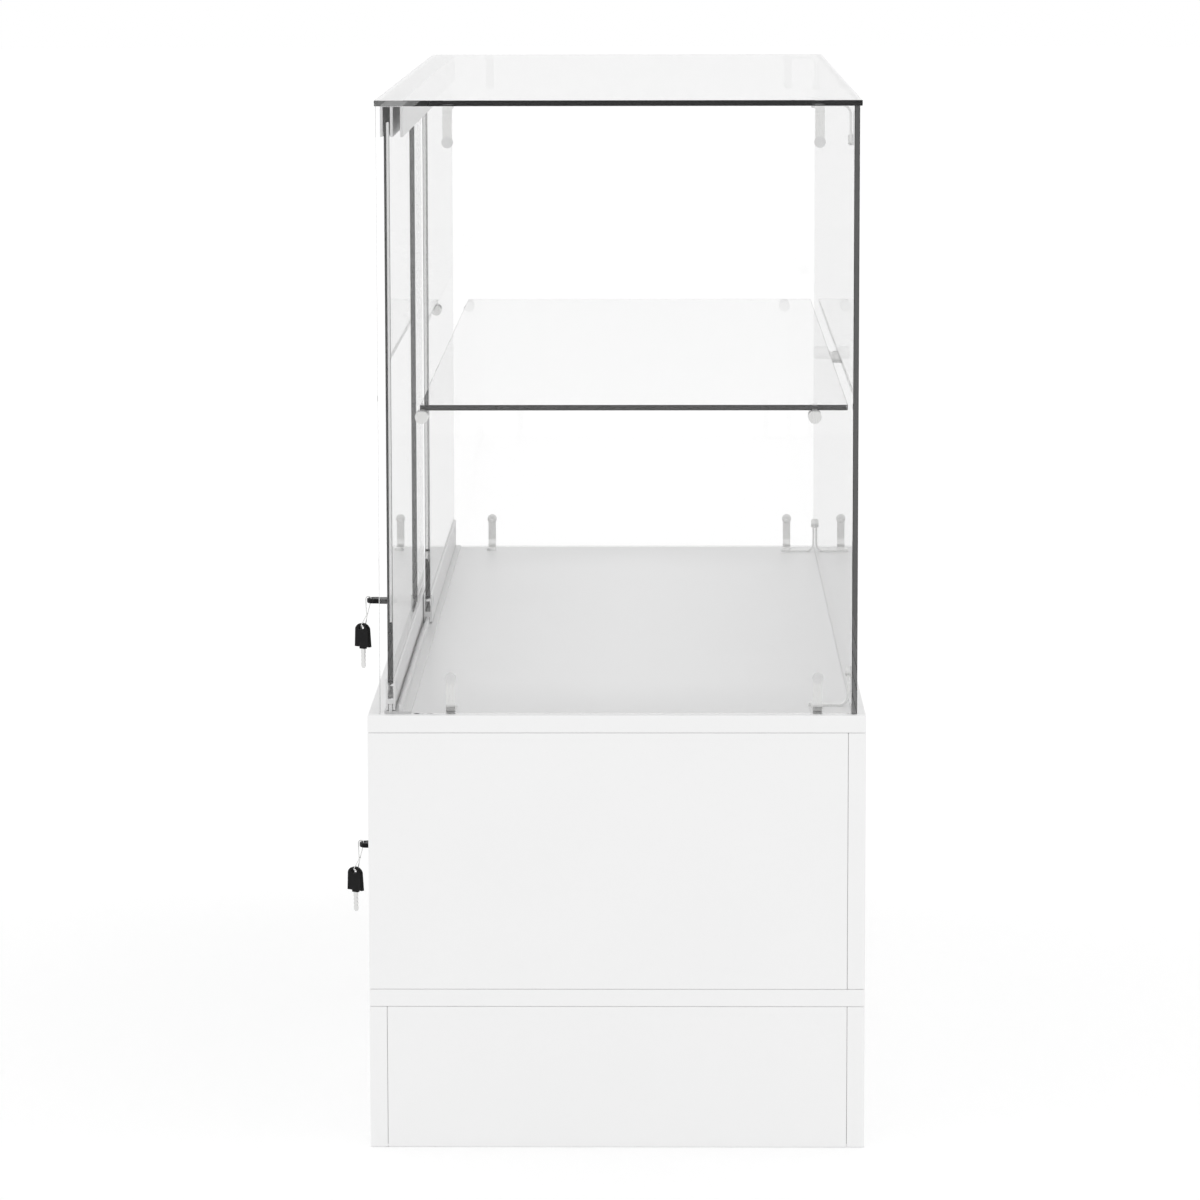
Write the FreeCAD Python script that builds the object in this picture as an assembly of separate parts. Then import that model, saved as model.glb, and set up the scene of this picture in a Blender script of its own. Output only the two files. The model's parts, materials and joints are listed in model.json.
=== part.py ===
import FreeCAD, Part
import math
import os

# A retail display case. A glass showcase with one glass shelf stands on a white board cabinet.
# Both storeys have a pair of sliding doors at the back, with a push lock and two keys.
# Frame: origin at the centre of the footprint on the floor, +X along the length, +Z up.
# The customer's side is -Y and the doors are on +Y. All lengths are millimetres.

# Case
case_length = 1200.0
case_depth = 450.0
board = 16.0
plinth_height = 131.0
cabinet_height = 236.0
board_edge_round = 1.0
divider_door_gap = 10.0

# Glass
glass = 5.0
glass_height = 547.5
glass_inset = 8.0
glass_back_inset = 10.8
glass_arris = 0.4
top_end_overhang = 5.0
top_front_overhang = 2.0
top_back_overhang = 0.8
shelf_rise = 275.0
shelf_front_gap = 4.5
shelf_back_gap = 13.6
shelf_end_gap = 1.5

# Door tracks, seen end on: a roof with three fins above, a sill plate with two ribs below
track_fin = 2.4
track_channel = 6.6
track_height = 27.7
track_roof = 1.0
track_end_gap = 0.5
sill_plate = 2.0
showcase_sill_lip = 3.8
rib_width = 3.0
rib_height = 6.2
rib_round = 0.6
glass_track_setback = 4.0
cabinet_track_setback = 5.2

# Sliding doors: a pane in an H-section shoe that rides on its rib
door_pane = 5.0
door_end_gap = 1.5
door_overlap = 60.0
pane_head_room = 13.4
pane_side_clearance = 0.05
shoe_width = 8.4
shoe_height = 28.0
shoe_web = 5.0
shoe_lift = 1.0
shoe_corner_round = 0.6
glide_clearance = 0.1
rib_side_clearance = 0.6

# Push lock on the outer door's shoe
lock_rise = 21.0
lock_stroke = 6.0
pin_radius = 5.0
pin_hole_clearance = 0.3
pin_recess = 0.5
pin_nose_chamfer = 0.8
notch_clearance = 1.0
housing_clearance = 0.1
spigot_radius = 6.5
spigot_clearance = 0.1
flange_radius = 9.5
flange_thickness = 2.0
flange_round = 0.8
sleeve_radius = 7.0
sleeve_reach = 10.8
sleeve_round = 0.5
collar_radius = 7.0
collar_length = 6.5
collar_gap = 0.5
collar_round = 0.8
plug_radius = 3.7
plug_clearance = 0.1
plug_floor_gap = 0.4

# Keys: a moulded head on a flat blade, and the wire that ties the spare key to the one in the lock
head_length = 26.3
head_width = 20.0
head_tip_width = 17.7
head_crown = 5.2
head_shoulder_round = 3.0
head_thickness = 4.6
head_edge_round = 0.8
head_boss_length = 2.0
head_boss_width = 7.0
eye_width = 7.4
eye_height = 4.2
eye_to_tip = 4.2
blade_length = 20.0
blade_width = 5.0
blade_thickness = 1.8
blade_root = 10.0
blade_clearance = 0.1
blade_tip = 2.0
blade_tip_flat = 1.6
blade_cut_depth = 0.8
blade_cut_width = 2.0
blade_cut_shares = (0.28, 0.48, 0.68)
wire_radius = 0.45
wire_tip_gap = 1.4
wire_arch_base = 1.2
wire_knot_reach = 4.2
wire_knot_drop = 14.3
wire_knot_radius = 0.9
wire_knot_length = 3.0
wire_eye_gap = 0.35
wire_eye_seat = 0.2
spare_reach = 8.9
spare_drop = 27.6
spare_tilt_degrees = 1.0
spare_turn_degrees = 40.0

# Corner brackets: a bent strip, round at both ends, a domed button or screw, and a clear pad on glass
bracket_width = 8.4
bracket_thickness = 2.0
bracket_bend = 9.5
bracket_reach = 32.0
bracket_end_radius = 5.2
bracket_hole_radius = 2.2
bracket_pad = 0.6
bracket_pad_radius = 5.0
button_radius = 4.6
button_height = 1.5
button_round = 1.0
button_shank_radius = 2.0
button_dimple_radius = 1.3
button_dimple_depth = 0.7
screw_length = 12.0
screw_clearance = 0.1
end_bracket_back_margin = 63.8
end_bracket_front_margin = 30.5
bracket_foot_gap = 1.0

# Shelf pegs on the glass
peg_radius = 6.0
peg_length = 18.0
peg_round = 0.5
peg_flat = 0.8
peg_pad_margin = 1.5
peg_pad_side_margin = 0.8
end_peg_back_margin = 39.4
end_peg_front_margin = 34.0

# Flat-pack joinery hidden in the boards
dowel_radius = 4.0
dowel_length = 30.0
dowel_in_face = 10.0
dowel_chamfer = 0.8
dowel_clearance = 0.1
dowel_end_gap = 0.5
cam_radius = 7.5
cam_depth = 12.5
cam_setback = 34.0
cam_clearance = 0.1
cam_slot_width = 1.6
cam_slot_depth = 2.0
bolt_radius = 3.5
bolt_thread_radius = 2.5
bolt_in_face = 10.0
bolt_clearance = 0.3

# Places of the joinery, as shares of the length of the joint
end_dowel_shares = (0.35, 0.65)
end_cam_shares = (0.15, 0.85)
front_dowel_shares = (0.10, 0.40, 0.60, 0.90)
front_cam_shares = (0.20, 0.80)
divider_dowel_shares = (0.25, 0.75)
plinth_long_dowel_shares = (0.15, 0.50, 0.85)
plinth_end_dowel_shares = (0.25, 0.75)
plinth_rail_dowel_shares = (0.40, 0.60)

overrun = 1.0
match_tolerance = 0.001

# Levels and faces that follow from the sizes above
half_length = case_length / 2
front_y = -case_depth / 2
back_y = case_depth / 2
z_bottom_board = plinth_height
z_cabinet_floor = z_bottom_board + board
z_cabinet_ceiling = z_cabinet_floor + cabinet_height
z_deck = z_cabinet_ceiling + board
z_glass_ceiling = z_deck + glass_height
z_top = z_glass_ceiling + glass
glass_end_x = half_length - glass_inset
glass_inner_x = glass_end_x - glass
glass_front_y = front_y + glass_inset
glass_inner_y = glass_front_y + glass
glass_back_y = back_y - glass_back_inset
panel_inner_x = half_length - board
panel_inner_y = front_y + board
track_width = 2 * track_channel + 3 * track_fin
lane_pitch = track_channel + track_fin
glass_track_back_y = glass_back_y - glass_track_setback
cabinet_track_back_y = back_y - cabinet_track_setback
front_bracket_margin = bracket_pad + bracket_reach + 2 * bracket_end_radius + bracket_foot_gap
shelf_under_z = z_deck + shelf_rise
peg_z = shelf_under_z - peg_radius

X = FreeCAD.Vector(1, 0, 0)
Y = FreeCAD.Vector(0, 1, 0)
Z = FreeCAD.Vector(0, 0, 1)

os.makedirs("parts", exist_ok=True)


def vec(x, y, z):
    return FreeCAD.Vector(x, y, z)


def block(x0, x1, y0, y1, z0, z1):
    """A box between two corners."""
    return Part.makeBox(x1 - x0, y1 - y0, z1 - z0, vec(x0, y0, z0))


def rod(start, direction, radius, length):
    """A cylinder from a start point along a direction."""
    return Part.makeCylinder(radius, length, start, direction)


def rounded_board(x0, x1, y0, y1, z0, z1):
    """A board with its edge banding eased all round."""
    shape = block(x0, x1, y0, y1, z0, z1)
    return shape.makeFillet(board_edge_round, shape.Edges)


def ground_glass(x0, x1, y0, y1, z0, z1):
    """A sheet of glass with its arrises ground off."""
    shape = block(x0, x1, y0, y1, z0, z1)
    return shape.makeChamfer(glass_arris, shape.Edges)


def prism(points, length):
    """The outline's points pushed along X."""
    face = Part.Face(Part.makePolygon(points + points[:1]))
    return face.extrude(X * length)


def place(shape, origin, u, v, w):
    """Moves a shape drawn about the origin so that its x, y and z axes become u, v and w."""
    moved = shape.copy()
    moved.Placement = FreeCAD.Placement(FreeCAD.Matrix(
        u.x, v.x, w.x, origin.x,
        u.y, v.y, w.y, origin.y,
        u.z, v.z, w.z, origin.z,
        0, 0, 0, 1))
    return moved


def edges_at(shape, axis, place_on_axis):
    """The edges that lie whole in the plane across one axis at a place."""
    found = []
    for edge in shape.Edges:
        box = edge.BoundBox
        low = getattr(box, axis + "Min")
        high = getattr(box, axis + "Max")
        if max(abs(low - place_on_axis), abs(high - place_on_axis)) < match_tolerance:
            found.append(edge)
    return found


def save(name, shapes):
    """Writes one node, of one solid or of a group of like solids."""
    whole = shapes if isinstance(shapes, Part.Shape) else Part.makeCompound(shapes)
    whole.exportStep("parts/" + name + ".step")


# Boards of the plinth and the cabinet
boards = {
    "plinth_front_board": rounded_board(
        -half_length, half_length, front_y, panel_inner_y, 0, z_bottom_board),
    "plinth_back_board": rounded_board(
        -half_length, half_length, back_y - board, back_y, 0, z_bottom_board),
    "plinth_end_left": rounded_board(
        -half_length, -panel_inner_x, panel_inner_y, back_y - board, 0, z_bottom_board),
    "plinth_end_right": rounded_board(
        panel_inner_x, half_length, panel_inner_y, back_y - board, 0, z_bottom_board),
    "plinth_centre_rail": rounded_board(
        -board / 2, board / 2, panel_inner_y, back_y - board, 0, z_bottom_board),
    "bottom_board": rounded_board(
        -half_length, half_length, front_y, back_y, z_bottom_board, z_cabinet_floor),
    "end_panel_left": rounded_board(
        -half_length, -panel_inner_x, panel_inner_y, back_y, z_cabinet_floor, z_cabinet_ceiling),
    "end_panel_right": rounded_board(
        panel_inner_x, half_length, panel_inner_y, back_y, z_cabinet_floor, z_cabinet_ceiling),
    "front_panel": rounded_board(
        -half_length, half_length, front_y, panel_inner_y, z_cabinet_floor, z_cabinet_ceiling),
    "deck_board": rounded_board(
        -half_length, half_length, front_y, back_y, z_cabinet_ceiling, z_deck),
}
divider_back_y = cabinet_track_back_y - track_width - divider_door_gap
boards["centre_divider"] = rounded_board(
    -board / 2, board / 2, panel_inner_y, divider_back_y, z_cabinet_floor, z_cabinet_ceiling)

# Joinery: dowels, and cam discs with their bolts, each with its holes in the boards
dowels = []
cam_discs = []
cam_bolts = []


def drill(board_name, hole):
    boards[board_name] = boards[board_name].cut(hole)


def add_dowel(upright, flat, x, y, z, into_upright):
    """A dowel across a level joint. into_upright is +1 if the upright board is above the joint, else -1."""
    up = Z * into_upright
    joint = vec(x, y, z)
    pin = rod(joint - up * dowel_in_face, up, dowel_radius, dowel_length)
    ends = [e for e in pin.Edges if isinstance(e.Curve, Part.Circle)]
    dowels.append(pin.makeChamfer(dowel_chamfer, ends))
    hole = rod(joint - up * (dowel_in_face + dowel_end_gap), up,
               dowel_radius + dowel_clearance, dowel_length + 2 * dowel_end_gap)
    drill(upright, hole)
    drill(flat, hole)


def add_cam(upright, flat, x, y, z, into_upright, inner_face, inward):
    """A cam disc let into the upright at inner_face, a point on its face, and the bolt that it draws."""
    up = Z * into_upright
    joint = vec(x, y, z)
    thread = rod(joint - up * bolt_in_face, up, bolt_thread_radius, bolt_in_face)
    shank = rod(joint, up, bolt_radius, cam_setback)
    cam_bolts.append(thread.fuse(shank).removeSplitter())
    disc_face = inner_face + up * cam_setback
    disc = rod(disc_face, -inward, cam_radius, cam_depth)
    bolt_way = rod(joint, up, bolt_radius + bolt_clearance, cam_setback + bolt_clearance)
    disc = disc.cut(bolt_way)
    across = up.cross(inward)
    slot = Part.makeBox(2 * cam_radius, cam_slot_width, cam_slot_depth)
    slot_corner = disc_face - across * cam_radius - up * (cam_slot_width / 2) - inward * cam_slot_depth
    cam_discs.append(disc.cut(place(slot, slot_corner, across, up, inward)))
    drill(upright, rod(disc_face, -inward, cam_radius + cam_clearance, cam_depth + cam_clearance))
    drill(upright, bolt_way)
    drill(flat, rod(joint, -up, bolt_thread_radius, bolt_in_face))


def along(low, high, shares):
    return [low + share * (high - low) for share in shares]


for flat, z, side in (("bottom_board", z_cabinet_floor, 1), ("deck_board", z_cabinet_ceiling, -1)):
    for name, mid_x, inner_x, inward in (
            ("end_panel_left", -half_length + board / 2, -panel_inner_x, X),
            ("end_panel_right", half_length - board / 2, panel_inner_x, -X)):
        for y in along(panel_inner_y, back_y, end_dowel_shares):
            add_dowel(name, flat, mid_x, y, z, side)
        for y in along(panel_inner_y, back_y, end_cam_shares):
            add_cam(name, flat, mid_x, y, z, side, vec(inner_x, y, z), inward)
    for x in along(-half_length, half_length, front_dowel_shares):
        add_dowel("front_panel", flat, x, front_y + board / 2, z, side)
    for x in along(-half_length, half_length, front_cam_shares):
        add_cam("front_panel", flat, x, front_y + board / 2, z, side, vec(x, panel_inner_y, z), Y)
    for y in along(panel_inner_y, divider_back_y, divider_dowel_shares):
        add_dowel("centre_divider", flat, 0, y, z, side)

for name, y in (("plinth_front_board", front_y + board / 2), ("plinth_back_board", back_y - board / 2)):
    for x in along(-half_length, half_length, plinth_long_dowel_shares):
        add_dowel(name, "bottom_board", x, y, z_bottom_board, -1)
for name, x, shares in (
        ("plinth_end_left", -half_length + board / 2, plinth_end_dowel_shares),
        ("plinth_end_right", half_length - board / 2, plinth_end_dowel_shares),
        ("plinth_centre_rail", 0, plinth_rail_dowel_shares)):
    for y in along(panel_inner_y, back_y - board, shares):
        add_dowel(name, "bottom_board", x, y, z_bottom_board, -1)

# Showcase glass: the front sheet covers the edges of the end sheets, and the top lies on all three
save("front_glass", ground_glass(
    -glass_end_x, glass_end_x, glass_front_y, glass_inner_y, z_deck, z_glass_ceiling))
save("end_glass_left", ground_glass(
    -glass_end_x, -glass_inner_x, glass_inner_y, glass_back_y, z_deck, z_glass_ceiling))
save("end_glass_right", ground_glass(
    glass_inner_x, glass_end_x, glass_inner_y, glass_back_y, z_deck, z_glass_ceiling))
save("top_glass", ground_glass(
    -glass_end_x - top_end_overhang, glass_end_x + top_end_overhang,
    glass_front_y - top_front_overhang, glass_back_y + top_back_overhang, z_glass_ceiling, z_top))
save("shelf_glass", ground_glass(
    -glass_inner_x + shelf_end_gap, glass_inner_x - shelf_end_gap,
    glass_inner_y + shelf_front_gap, glass_track_back_y - track_width - shelf_back_gap,
    shelf_under_z, shelf_under_z + glass))

# Shelf pegs: turned studs on the glass with a milled flat, and a clear pad on the flat under the shelf
pegs = []
peg_pads = []


def add_peg(root, inward):
    stud = rod(root, inward, peg_radius, peg_length)
    rim = [e for e in stud.Edges if (e.CenterOfMass - root).dot(inward) > peg_length - match_tolerance]
    stud = stud.makeFillet(peg_round, rim)
    across = Z.cross(inward)
    flat_half = math.sqrt(peg_radius ** 2 - (peg_radius - peg_flat) ** 2)
    waste = Part.makeBox(peg_length + overrun, 2 * peg_radius, peg_flat + overrun)
    flat_z = Z * (peg_radius - peg_flat)
    pegs.append(stud.cut(place(waste, root - across * peg_radius + flat_z, inward, across, Z)))
    pad_half = flat_half - peg_pad_side_margin
    pad = Part.makeBox(peg_length - 2 * peg_pad_margin, 2 * pad_half, peg_flat)
    pad_corner = root + inward * peg_pad_margin - across * pad_half + flat_z
    peg_pads.append(place(pad, pad_corner, inward, across, Z))


for side, inward in ((-1, X), (1, -X)):
    for y in (glass_back_y - end_peg_back_margin, glass_inner_y + end_peg_front_margin):
        add_peg(vec(side * glass_inner_x, y, peg_z), inward)
add_peg(vec(0, glass_inner_y, peg_z), Y)
save("shelf_pegs", pegs)
save("shelf_peg_pads", peg_pads)

# Corner brackets
screws = []
buttons = []
pads = []


def bracket_strip():
    """One bracket about its outer corner: one leg along x on the glass, the other along y."""
    bend = bracket_bend
    inside = bracket_bend - bracket_thickness
    t = bracket_thickness
    middle = math.sqrt(0.5)
    edges = [
        Part.makeLine(vec(bracket_reach, 0, 0), vec(bend, 0, 0)),
        Part.Arc(vec(bend, 0, 0), vec(bend - bend * middle, bend - bend * middle, 0),
                 vec(0, bend, 0)).toShape(),
        Part.makeLine(vec(0, bend, 0), vec(0, bracket_reach, 0)),
        Part.makeLine(vec(0, bracket_reach, 0), vec(t, bracket_reach, 0)),
        Part.makeLine(vec(t, bracket_reach, 0), vec(t, bend, 0)),
        Part.Arc(vec(t, bend, 0), vec(bend - inside * middle, bend - inside * middle, 0),
                 vec(bend, t, 0)).toShape(),
        Part.makeLine(vec(bend, t, 0), vec(bracket_reach, t, 0)),
        Part.makeLine(vec(bracket_reach, t, 0), vec(bracket_reach, 0, 0)),
    ]
    strip = Part.Face(Part.Wire(edges)).extrude(Z * bracket_width)
    strip.translate(Z * (-bracket_width / 2))
    ends = [rod(vec(bracket_reach, 0, 0), Y, bracket_end_radius, t),
            rod(vec(0, bracket_reach, 0), X, bracket_end_radius, t)]
    holes = [rod(vec(bracket_reach, -overrun, 0), Y, bracket_hole_radius, t + 2 * overrun),
             rod(vec(-overrun, bracket_reach, 0), X, bracket_hole_radius, t + 2 * overrun)]
    return strip.multiFuse(ends).removeSplitter().cut(Part.makeCompound(holes))


def fastener(seat, out, shank_length):
    """A domed head with a driver dimple, standing on a seat, and its shank below."""
    head = rod(seat, out, button_radius, button_height)
    rim = [e for e in head.Edges if (e.CenterOfMass - seat).dot(out) > button_height - match_tolerance]
    head = head.makeFillet(button_round, rim)
    dimple = Part.makeCone(0, button_dimple_radius, button_dimple_depth,
                           seat + out * (button_height - button_dimple_depth), out)
    shank = rod(seat, -out, button_shank_radius, shank_length)
    return head.cut(dimple).fuse(shank)


bracket_shape = bracket_strip()


def add_bracket(group, corner, up, inward, on_deck):
    """A bracket between a sheet of glass and the deck or the top glass. corner lies on both faces."""
    lift = 0 if on_deck else bracket_pad
    heel = corner + inward * bracket_pad + up * lift
    group.append(place(bracket_shape, heel, up, inward, up.cross(inward)))
    glass_seat = heel + up * bracket_reach
    foot_seat = heel + inward * bracket_reach
    pads.append(rod(glass_seat - inward * bracket_pad, inward, bracket_pad_radius, bracket_pad))
    buttons.append(fastener(glass_seat + inward * bracket_thickness, inward, bracket_thickness))
    if on_deck:
        screws.append(fastener(foot_seat + up * bracket_thickness, up, bracket_thickness + screw_length))
        drill("deck_board", rod(foot_seat, -up, button_shank_radius + screw_clearance,
                                screw_length + screw_clearance))
    else:
        pads.append(rod(foot_seat - up * bracket_pad, up, bracket_pad_radius, bracket_pad))
        buttons.append(fastener(foot_seat + up * bracket_thickness, up, bracket_thickness))


for level, z, up in (("deck", z_deck, Z), ("top", z_glass_ceiling, -Z)):
    for side_name, side, inward in (("left", -1, X), ("right", 1, -X)):
        group = []
        for y in (glass_back_y - end_bracket_back_margin, glass_inner_y + end_bracket_front_margin):
            add_bracket(group, vec(side * glass_inner_x, y, z), up, inward, level == "deck")
        save(side_name + "_" + level + "_brackets", group)
    group = []
    for x in (front_bracket_margin - glass_inner_x, glass_inner_x - front_bracket_margin):
        add_bracket(group, vec(x, glass_inner_y, z), up, Y, level == "deck")
    save("front_" + level + "_brackets", group)
save("bracket_screws", screws)
save("bracket_buttons", buttons)
save("bracket_pads", pads)

for name, shape in boards.items():
    save(name, shape)
save("board_dowels", dowels)
save("cam_discs", cam_discs)
save("cam_bolts", cam_bolts)

# Doors, shared by both storeys
shoe_wall = (shoe_width - door_pane) / 2 - pane_side_clearance
groove_width = rib_width + 2 * rib_side_clearance
shoe_bottom = sill_plate + shoe_lift
groove_roof = sill_plate + rib_height + glide_clearance
pane_seat = groove_roof + shoe_web
plunger_face = sleeve_reach + lock_stroke + collar_gap + collar_length


def top_track(half, y, ceiling):
    """An E-section turned down: a roof and three fins, with a lane between each two."""
    w = track_width / 2
    f = track_fin
    deep = ceiling - track_height
    roof = ceiling - track_roof
    outline = [(w, ceiling), (w, deep), (w - f, deep), (w - f, roof), (f / 2, roof), (f / 2, deep),
               (-f / 2, deep), (-f / 2, roof), (f - w, roof), (f - w, deep), (-w, deep), (-w, ceiling)]
    return prism([vec(-half, y + across, z) for across, z in outline], 2 * half)


def bottom_track(half, y, floor, lip):
    """A sill plate with a rounded rib under each lane. Its lip, if it has one, reaches into the case."""
    plate_top = floor + sill_plate
    rib_top = plate_top + rib_height
    w = track_width / 2
    outline = [(-w - lip, floor), (-w - lip, plate_top)]
    for lane in (-lane_pitch / 2, lane_pitch / 2):
        low = lane - rib_width / 2
        high = lane + rib_width / 2
        outline += [(low, plate_top), (low, rib_top), (high, rib_top), (high, plate_top)]
    outline += [(w, plate_top), (w, floor)]
    sill = prism([vec(-half, y + across, z) for across, z in outline], 2 * half)
    crests = [e for e in edges_at(sill, "Z", rib_top) if e.Length > half]
    return sill.makeFillet(rib_round, crests)


def lock_holes(x0, x1):
    """Both ends are drilled alike, so a shoe and its pane fit either lane and either hand."""
    return [x0 + door_overlap / 2, x1 - door_overlap / 2]


def door_shoe(x0, x1, y, floor):
    """An H-section: the groove below rides on a rib, the slot above holds the pane."""
    w = shoe_width / 2
    g = groove_width / 2
    s = door_pane / 2 + pane_side_clearance
    low = floor + shoe_bottom
    high = low + shoe_height
    roof = floor + groove_roof
    seat = floor + pane_seat
    outline = [(-w, low), (-g, low), (-g, roof), (g, roof), (g, low), (w, low),
               (w, high), (s, high), (s, seat), (-s, seat), (-s, high), (-w, high)]
    shoe = prism([vec(x0, y + across, z) for across, z in outline], x1 - x0)
    corners = [e for e in shoe.Edges
               if e.Length > shoe_height and abs(abs(e.CenterOfMass.y - y) - w) < match_tolerance]
    shoe = shoe.makeFillet(shoe_corner_round, corners)
    for x in lock_holes(x0, x1):
        axis = vec(x, y, floor + lock_rise)
        shoe = shoe.cut(rod(axis, Y, spigot_radius + spigot_clearance, shoe_width))
        shoe = shoe.cut(rod(axis, -Y, pin_radius + pin_hole_clearance, shoe_width))
    return shoe


def door_sheet(x0, x1, y, floor, ceiling):
    """A pane with a notch for the lock pin at each lower corner, out of sight in the shoe."""
    bottom = floor + pane_seat
    sheet = ground_glass(x0, x1, y - door_pane / 2, y + door_pane / 2,
                         bottom, ceiling - track_roof - pane_head_room)
    notch = pin_radius + notch_clearance
    for x in lock_holes(x0, x1):
        crown = rod(vec(x, y - door_pane, floor + lock_rise), Y, notch, 2 * door_pane)
        slot = block(x - notch, x + notch, y - door_pane, y + door_pane,
                     bottom - overrun, floor + lock_rise)
        sheet = sheet.cut(crown.fuse(slot))
    return sheet


def rims(shape, y, radius):
    """The round edges of one radius in the plane across Y."""
    return [e for e in edges_at(shape, "Y", y)
            if isinstance(e.Curve, Part.Circle) and abs(e.Curve.Radius - radius) < match_tolerance]


def lock_housing(face):
    """Spigot in the shoe's wall, flange on its face, and the sleeve that guides the plunger."""
    body = rod(face - Y * shoe_wall, Y, spigot_radius, shoe_wall + flange_thickness)
    body = body.fuse(rod(face, Y, flange_radius, flange_thickness))
    body = body.fuse(rod(face, Y, sleeve_radius, sleeve_reach)).removeSplitter()
    bore = rod(face - Y * (shoe_wall + overrun), Y, pin_radius + housing_clearance,
               shoe_wall + sleeve_reach + 2 * overrun)
    body = body.cut(bore)
    body = body.makeFillet(flange_round, rims(body, face.y + flange_thickness, flange_radius))
    return body.makeFillet(sleeve_round, rims(body, face.y + sleeve_reach, sleeve_radius))


def lock_plunger(face):
    """The push barrel: its inner end is the lock pin, its outer end a collar round the key plug."""
    inner = shoe_width - pin_recess
    barrel = rod(face - Y * inner, Y, pin_radius, inner + plunger_face)
    collar = rod(face + Y * (plunger_face - collar_length), Y, collar_radius, collar_length)
    barrel = barrel.fuse(collar).removeSplitter()
    depth = blade_length + plug_floor_gap
    barrel = barrel.cut(rod(face + Y * (plunger_face - depth), Y,
                            plug_radius + plug_clearance, depth + overrun))
    barrel = barrel.makeChamfer(pin_nose_chamfer, rims(barrel, face.y - inner, pin_radius))
    return barrel.makeFillet(collar_round, rims(barrel, face.y + plunger_face, collar_radius))


def lock_plug(face):
    """The key plug that turns in the plunger, with its keyway lying level."""
    length = blade_length + plug_floor_gap / 2
    start = face + Y * (plunger_face - length)
    plug = rod(start, Y, plug_radius, length)
    half_width = blade_width / 2 + blade_clearance
    half_thick = blade_thickness / 2 + blade_clearance
    keyway = block(start.x - half_width, start.x + half_width, start.y - overrun,
                   start.y + length + overrun, start.z - half_thick, start.z + half_thick)
    return plug.cut(keyway)


def key_blade():
    """A flat blade about the head's foot: x towards the head's tip, y across, z through."""
    half = blade_width / 2
    tip = -blade_length
    upper = [(blade_root, half)]
    for share in blade_cut_shares:
        cut = tip * share
        upper += [(cut + blade_cut_width / 2, half), (cut, half - blade_cut_depth),
                  (cut - blade_cut_width / 2, half)]
    upper += [(tip + blade_tip, half), (tip, blade_tip_flat / 2)]
    lower = [(x, -y) for x, y in reversed(upper)]
    points = [vec(x, y, -blade_thickness / 2) for x, y in upper + lower]
    return Part.Face(Part.makePolygon(points + points[:1])).extrude(Z * blade_thickness)


def key_head():
    """A moulded head: a boss at the blade, sides that draw in, a low crown and an eye across it."""
    low = -head_thickness / 2
    half = head_width / 2
    boss = head_boss_width / 2
    tip = head_tip_width / 2
    shoulder = head_length - head_crown
    side = [vec(shoulder, tip, low), vec(head_boss_length, half, low), vec(head_boss_length, boss, low),
            vec(0, boss, low)]
    mirrored = [vec(p.x, -p.y, low) for p in reversed(side)]
    sides = Part.makePolygon(side + mirrored)
    crown = Part.Arc(vec(shoulder, -tip, low), vec(head_length, 0, low), vec(shoulder, tip, low)).toShape()
    head = Part.Face(Part.Wire(sides.Edges + [crown])).extrude(Z * head_thickness)
    head = head.makeFillet(head_shoulder_round, edges_at(head, "X", shoulder))
    head = head.makeFillet(head_edge_round, edges_at(head, "Z", low) + edges_at(head, "Z", -low))
    eye_x = head_length - eye_to_tip
    eye_radius = eye_height / 2
    reach = eye_width / 2 - eye_radius
    eye = block(eye_x - eye_radius, eye_x + eye_radius, -reach, reach, -head_thickness, head_thickness)
    for end in (-reach, reach):
        eye = eye.fuse(rod(vec(eye_x, end, -head_thickness), Z, eye_radius, 2 * head_thickness))
    pocket = block(-overrun, blade_root, -blade_width / 2, blade_width / 2,
                   -blade_thickness / 2, blade_thickness / 2)
    return head.cut(eye).cut(pocket)


def wire_loop(apex, far, radius, side):
    """A drop-shaped turn of wire from an apex round a circle about far, in the plane of far and side."""
    axis = far - apex
    run = axis.Length
    axis.normalize()
    gap = wire_radius
    slant = math.atan2(gap, run) - math.asin(radius / math.hypot(run, gap))
    tangent = math.sqrt(run ** 2 + gap ** 2 - radius ** 2)
    starts = []
    touches = []
    for sign in (-1, 1):
        start = apex + side * (sign * gap)
        starts.append(start)
        sideways = side * (sign * tangent * math.sin(slant))
        touches.append(start + axis * (tangent * math.cos(slant)) - sideways)
    path = Part.Wire([
        Part.makeLine(starts[0], touches[0]),
        Part.Arc(touches[0], far + axis * radius, touches[1]).toShape(),
        Part.makeLine(touches[1], starts[1]),
    ])
    ring = Part.Wire(Part.makeCircle(wire_radius, starts[0], touches[0] - starts[0]))
    return path.makePipeShell([ring], True, False)


def key_wire(eye, spare_eye, spare_through):
    """Twisted wire: one turn through the eye of the key in the lock, one through the spare key's eye."""
    reach = eye_to_tip + wire_tip_gap
    knot = eye + Y * wire_knot_reach - Z * wire_knot_drop
    # The knot lies in the plane of the spare key's head, so that both strands clear its faces
    knot -= X * ((knot - spare_eye).dot(spare_through) / spare_through.x)
    upper = wire_loop(knot, eye + Y * (reach / 2) + Z * wire_arch_base, reach / 2, Y)
    fall = spare_eye - knot
    fall.normalize()
    turn = head_thickness / 2 + wire_radius + wire_eye_gap
    lower = wire_loop(knot, spare_eye - fall * (turn + wire_eye_seat), turn, spare_through)
    twist = rod(knot - fall * (wire_knot_length / 2), fall, wire_knot_radius, wire_knot_length)
    return twist.multiFuse([upper, lower])


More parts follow.
